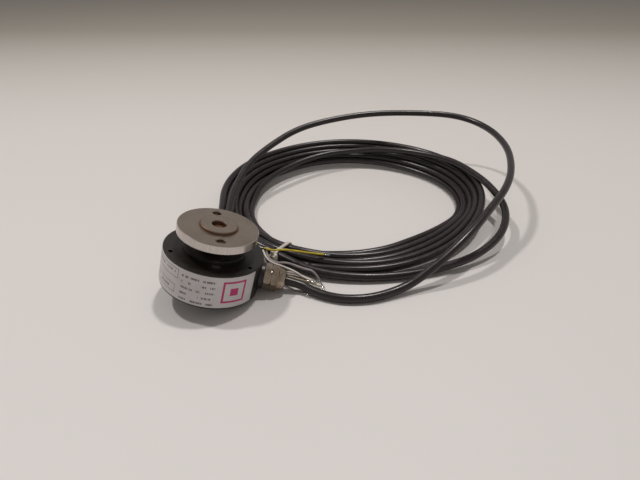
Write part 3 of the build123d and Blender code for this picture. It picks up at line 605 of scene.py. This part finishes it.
def make_tie():
    """The tie: a strap 1.2 mm thick drawn round the six strands, its locking head on the outer
    side and its cut end.  The strap's line at each turn of its direction is the furthest strand's
    centre plus the strand's radius, so it is straight between strands and round on them."""
    outward_way = np.array([math.cos(math.radians(TIE_ANGLE)), math.sin(math.radians(TIE_ANGLE)), 0])
    along_way = np.array([-outward_way[1], outward_way[0], 0])
    middle = np.array([*COIL_CENTRE, 0])

    def placed(reach, along, high):
        """Points of the tie's own plane, in metres in the row frame."""
        reach, along, high = np.broadcast_arrays(reach, along, high)
        return (middle + reach[..., None] * outward_way + along[..., None] * along_way
                + high[..., None] * np.array([0, 0, 1])) * MM

    sides = 96
    turn = np.arange(sides) * 2 * math.pi / sides
    facing = np.stack([np.cos(turn), np.sin(turn)], -1)
    furthest = TIE_PLACES[np.argmax(facing @ TIE_PLACES.T, axis=1)]
    corner = 0.25
    slack = 0.05
    section = [(0, -STRAP_W / 2 + corner), (corner, -STRAP_W / 2), (STRAP_T - corner, -STRAP_W / 2),
               (STRAP_T, -STRAP_W / 2 + corner), (STRAP_T, STRAP_W / 2 - corner),
               (STRAP_T - corner, STRAP_W / 2), (corner, STRAP_W / 2), (0, STRAP_W / 2 - corner)]
    depth = np.array([d for d, _ in section])
    along = np.array([a for _, a in section])
    away = furthest[:, None] + facing[:, None] * (CABLE_D / 2 + slack + depth)[None, :, None]
    strap = placed(away[..., 0], along[None, :], away[..., 1])
    points = [strap.reshape(-1, 3)]
    faces = quads(sides, len(section), wrap_rows=True)

    def block(reach, along_middle, high, sizes):
        """A rounded block: a ball's cosines and sines raised to the power 0.3, with their signs."""
        rows, columns = 13, 24
        tilt = np.linspace(-math.pi / 2, math.pi / 2, rows)[:, None]
        spin_angle = (np.arange(columns) * 2 * math.pi / columns)[None, :]

        def squared(value):
            return np.sign(value) * np.abs(value) ** 0.3

        x = reach + sizes[0] / 2 * squared(np.cos(tilt)) * squared(np.cos(spin_angle))
        y = along_middle + sizes[1] / 2 * squared(np.cos(tilt)) * squared(np.sin(spin_angle))
        z = high + sizes[2] / 2 * squared(np.sin(tilt)) * np.ones_like(spin_angle)
        first = sum(len(p) for p in points)
        grid = placed(x, y, z)
        points.append(grid[1:-1].reshape(-1, 3))
        faces.extend(capped(rows - 2, columns, first))

    # the locking head, and the strap's cut end above it
    block(108.0, 0.0, 8.6, (4.6, 4.6, 5.4))
    block(108.6, 0.0, 12.2, (1.2, 2.4, 3.4))
    return mesh_piece("cable_tie_strap", np.concatenate(points), faces, "tie_nylon",
                      replaces=["cable_tie"], sharp_deg=40)


tie = make_tie()

CORE_POINTS = {
    "core_yellow": [(21.5, 24.7, 14.8), (26.8, 19.0, 16.6), (33.0, 17.6, 17.8),
                    (42.3, 19.2, 15.8), (51.4, 21.0, 13.2), (59.6, 21.8, 11.6)],
    "core_white": [(20.7, 23.7, 14.1), (23.2, 17.0, 13.2), (27.7, 11.6, 12.0),
                   (34.7, 8.6, 11.0), (42.2, 5.7, 9.0), (46.9, 3.6, 7.0), (51.7, 2.0, 5.4)],
    "core_grey": [(22.5, 25.5, 13.8), (24.6, 17.6, 13.0), (30.3, 11.9, 12.0),
                  (37.0, 10.8, 12.2), (46.9, 7.2, 10.8), (54.0, 4.2, 9.2), (56.9, 2.0, 5.4)],
    "core_pink": [(20.5, 23.4, 12.6), (22.6, 15.8, 11.0), (28.0, 10.6, 9.0),
                  (35.0, 8.2, 7.6), (44.0, 6.8, 6.4), (54.0, 2.6, 4.6)],
    "core_brown": [(22.5, 25.4, 12.2), (23.0, 17.6, 9.4), (28.0, 10.8, 6.8),
                   (36.0, 8.0, 5.4), (44.0, 7.0, 4.0), (48.6, 5.8, 3.2)],
    "core_cream": [(21.1, 24.3, 11.8), (21.4, 16.6, 8.2), (27.0, 11.0, 6.0),
                   (35.0, 8.0, 5.2), (45.0, 4.6, 4.0), (56.6, 0.1, 2.8)],
    "core_green": [(21.9, 24.9, 11.4), (20.8, 18.0, 7.0), (27.0, 10.8, 3.2),
                   (35.7, 7.0, 2.2), (46.0, 3.4, 1.6), (56.8, -1.2, 1.2)],
}
random = np.random.default_rng(5)


def end_strands(line):
    """Seven tinned strands out of a core's stripped end: one in the middle and six that spread a
    little and wind round it."""
    ahead = line[-1] - line[-3]
    ahead /= np.linalg.norm(ahead)
    across = np.cross(ahead, (0, 0, 1))
    across /= np.linalg.norm(across)
    third = np.cross(ahead, across)
    share = np.linspace(0, 1, 9)[:, None]
    strand_radius, inside = 0.13, 0.3
    lines = []
    for k in range(7):
        spread = 0.0 if k == 0 else 0.30 + random.uniform(0, 0.35) * share
        angle = k * math.pi / 3 + 1.6 * share + random.uniform(-0.2, 0.2)
        reach = random.uniform(3.6, 4.4)
        lines.append(line[-1] + MM * ((reach * share - inside) * ahead
                     + spread * (np.cos(angle) * across + np.sin(angle) * third)))
    return tubes(lines, strand_radius * MM)


def make_cores():
    """The loose cores, and the strands at their ends as one more piece.  Nothing gives a core's
    real length: the length said is the drawn line's own, so measuring it again tests nothing."""
    points, faces = [], []
    for core_name, route in CORE_POINTS.items():
        route_m = np.array(route) * MM
        core = cord_piece(core_name + "_insulation", route_m, CORE_D, core_name, [core_name])
        line = line_of(route_m)
        rings, ring_faces = end_strands(line)
        first = sum(len(p) for p in points)
        faces += [[i + first for i in face] for face in ring_faces]
        points.append(rings.reshape(-1, 3))
    points = np.concatenate(points)
    points[:, 2] = np.maximum(points[:, 2], 0.1 * MM)
    mesh_piece("core_end_strands", points, faces, "tinned_wire", replaces=["core_tips"], sharp_deg=70)


make_cores()


def make_drain():
    """The bare drain wire: six tinned strands twisted about its line, opening out over the last
    quarter.  The length said is the drawn line's own, as with the cores."""
    twist_mm, strand_radius = 9, 0.14
    route_m = np.array([(21.5, 24.5, 13.0), (19.6, 19.4, 8.0), (24.0, 13.0, 3.2),
                        (31.0, 7.6, 1.2), (38.7, 0.6, 0.9), (45.0, -4.4, 0.9), (51.4, -7.6, 0.9)]) * MM
    line = line_of(route_m)
    along = np.gradient(line, axis=0)
    along /= np.linalg.norm(along, axis=1, keepdims=True)
    across = np.cross(along, (0.3, 0.4, 1.0))
    across /= np.linalg.norm(across, axis=1, keepdims=True)
    third = np.cross(along, across)
    run = np.concatenate([[0], np.cumsum(np.linalg.norm(np.diff(line, axis=0), axis=1))])
    share = run / run[-1]
    opening = np.clip((share - 0.75) / 0.25, 0, 1)
    lines = []
    for k in range(6):
        angle = 2 * math.pi * run / (twist_mm * MM) + k * math.pi / 3
        offset = (0.30 + opening * random.uniform(0.4, 1.5)) * MM
        strand = line + offset[:, None] * (np.cos(angle)[:, None] * across
                                           + np.sin(angle)[:, None] * third)
        strand[:, 2] = np.maximum(strand[:, 2], 0.2 * MM)
        lines.append(strand)
    rings, faces = tubes(lines, strand_radius * MM)
    piece = mesh_piece("drain_strands", rings, faces, "tinned_wire", replaces=["drain_wire"], sharp_deg=70)


make_drain()


# ---------------------------------------------------------------- label and gland

def make_label():
    """The label's film: a thin closed sheet round half the side, with its own map in millimetres."""
    inner, outer = LABEL_R
    top = LABEL_FOOT + LABEL_H
    section = [(inner, LABEL_FOOT), (outer, LABEL_FOOT), (outer, LABEL_FOOT + 0.3), (outer, top - 0.3),
               (outer, top), (inner, top)]
    rows = 121
    turn = np.radians(LABEL_START + np.linspace(0, LABEL_SWEEP, rows))[:, None]
    radius = np.array([r for r, _ in section])[None, :]
    height = np.array([z for _, z in section])[None, :]
    points = np.stack([radius * np.cos(turn), radius * np.sin(turn), height * np.ones_like(turn)], -1)
    piece = mesh_piece("label_film", seated(points), capped(rows, len(section)), "label_film",
                       replaces=["label"])
    mesh = piece.data
    flat = np.stack([(turn - turn[0]) * outer * np.ones_like(radius), height - LABEL_FOOT + 0 * turn], -1)
    corner = np.zeros(len(mesh.loops), int)
    mesh.loops.foreach_get("vertex_index", corner)
    layer = mesh.uv_layers.new(name="print_mm")
    layer.data.foreach_set("uv", flat.reshape(-1, 2)[corner].ravel())


make_label()


def gland_piece(name, slot, profile, hexagon_to, replaced):
    """A closed turned shell about the gland's axis from (distance from the shaft, radius) corners,
    outside first and then back through the bore.  Up to hexagon_to the outside is the smaller of
    the profile's radius and the hexagon's own, half the flats over the cosine of the angle to
    the nearest flat's middle."""
    sides = 180
    turn = np.arange(sides) * 2 * math.pi / sides
    from_flat = (turn - math.pi / 6) % (math.pi / 3) - math.pi / 6
    hexagon = GLAND_FLATS / 2 / np.cos(from_flat)
    rings = []
    for x, radius, outside in profile:
        ring = np.minimum(radius, hexagon) if outside and x <= hexagon_to else np.full(sides, radius)
        rings.append(np.stack([np.full(sides, x), ring * np.sin(turn), GLAND_Z + ring * np.cos(turn)], -1))
    mesh_piece(name, seated(rings), quads(len(rings), sides, wrap_rows=True), slot,
               replaces=[replaced], sharp_deg=24)


def stations(corners, outside):
    """Corners of a profile with one more ring close to each end of every long side, which keeps
    flat faces flat and round ones round."""
    found = []
    for (x1, r1), (x2, r2) in zip(corners[:-1], corners[1:]):
        found += [(x1, r1, outside)]
        found += [(x1 + (x2 - x1) * k / 6, r1 + (r2 - r1) * k / 6, outside) for k in range(1, 6)]
    return found + [(*corners[-1], outside)]


HEX_ROUND = 8.35        # the turned chamfer cuts the hexagon's corners at this radius
dome = [(39.9 + 4.3 * k / 8, 6.9 - 2.6 * (1 - math.sqrt(1 - (k / 8) ** 2)) ** 0.9) for k in range(9)]
gland_piece("gland_nut_shell", "nickel_brass",
            stations([(35.3, 5.9), (35.3, 7.0), (36.0, HEX_ROUND), (38.9, HEX_ROUND), (39.6, 7.0)], True)
            + [(x, r, False) for x, r in dome]
            + stations([(NUT_END, 2.98), (43.2, 2.98), (41.0, 5.75), (35.3, 5.75)], False),
            hexagon_to=39.7, replaced="gland_nut")
gland_piece("gland_body_shell", "nickel_brass",
            stations([(25.2, 5.97), (31.2, 5.97), (31.2, 7.4), (31.7, HEX_ROUND), (34.5, HEX_ROUND),
                      (35.0, 7.4), (35.0, 5.7), (39.4, 5.7)], True)
            + stations([(39.4, 4.7), (33.9, 4.7), (33.9, 3.6), (25.2, 3.6)], False),
            hexagon_to=35.05, replaced="gland_body")


# ---------------------------------------------------------------- floor and light

def make_floor():
    """A plain pale table top, painted a little darker far away as a painted fall-off of the lamps' light."""
    material, tree, shader = start("painted_table_top", 0.55)
    place = add(tree, "TexCoord", out="Object")
    depth_for_painted_falloff = add(tree, "VectorMath", {0: place, 1: (0, 1, 0)}, out="Value", operation="DOT_PRODUCT")
    share = add(tree, "MapRange", {0: depth_for_painted_falloff, 1: -0.1, 2: 1.3})
    # painted light: the table's colour darkens with distance, standing in for the lamps' light falling off
    colour = add(tree, "ValToRGB", {0: share}, stops=[(0.0, "d9d6d5"), (0.3, "d1cdca"), (1.0, "a39d93")])
    finish(tree, shader, colour)
    side = (-3.0, 3.0)
    mesh = bpy.data.meshes.new("table_top")
    mesh.from_pydata([(x, y, 0) for y in side for x in side], [], [(0, 1, 3, 2)])
    mesh.materials.append(material)
    floor = bpy.data.objects.new("table_top", mesh)
    bpy.context.scene.collection.objects.link(floor)


def lamp(name, place, size, power, colour):
    """One square lamp that looks at the middle of the view, between encoder and coil."""
    data = bpy.data.lights.new(name, "AREA")
    data.size = size
    data.energy = power
    data.color = linear(colour)[:3]
    light = bpy.data.objects.new(name, data)
    bpy.context.scene.collection.objects.link(light)
    light.location = place
    aim = Vector((0.06, 0.08, 0.0)) - Vector(place)
    light.rotation_mode = "QUATERNION"
    light.rotation_quaternion = aim.to_track_quat("-Z", "Y")


def make_light():
    """Two ceiling lamps behind the object, one to its right and one to its left, and an even room
    that is darker above."""
    lamp("ceiling_lamp_near", (0.40, 0.45, 1.75), 0.12, 12.6, "fffbf8")
    lamp("ceiling_lamp_left", (-0.75, 0.45, 1.65), 0.12, 12.0, "fffbf8")
    world = bpy.data.worlds.new("room")
    bpy.context.scene.world = world
    world.use_nodes = True
    tree = world.node_tree
    way = add(tree, "TexCoord", out="Generated")
    up = add(tree, "VectorMath", {0: way, 1: (0, 0, 1)}, out="Value", operation="DOT_PRODUCT")
    share = add(tree, "MapRange", {0: up, 1: -0.2, 2: 1.0})
    room = add(tree, "ValToRGB", {0: share}, stops=[(0.0, "ece9e6"), (0.45, "dedad6"), (1.0, "a8a19a")])
    tree.links.new(room, tree.nodes["Background"].inputs["Color"])
    tree.nodes["Background"].inputs["Strength"].default_value = 0.52


make_floor()
make_light()
bpy.context.scene.view_settings.view_transform = "Standard"
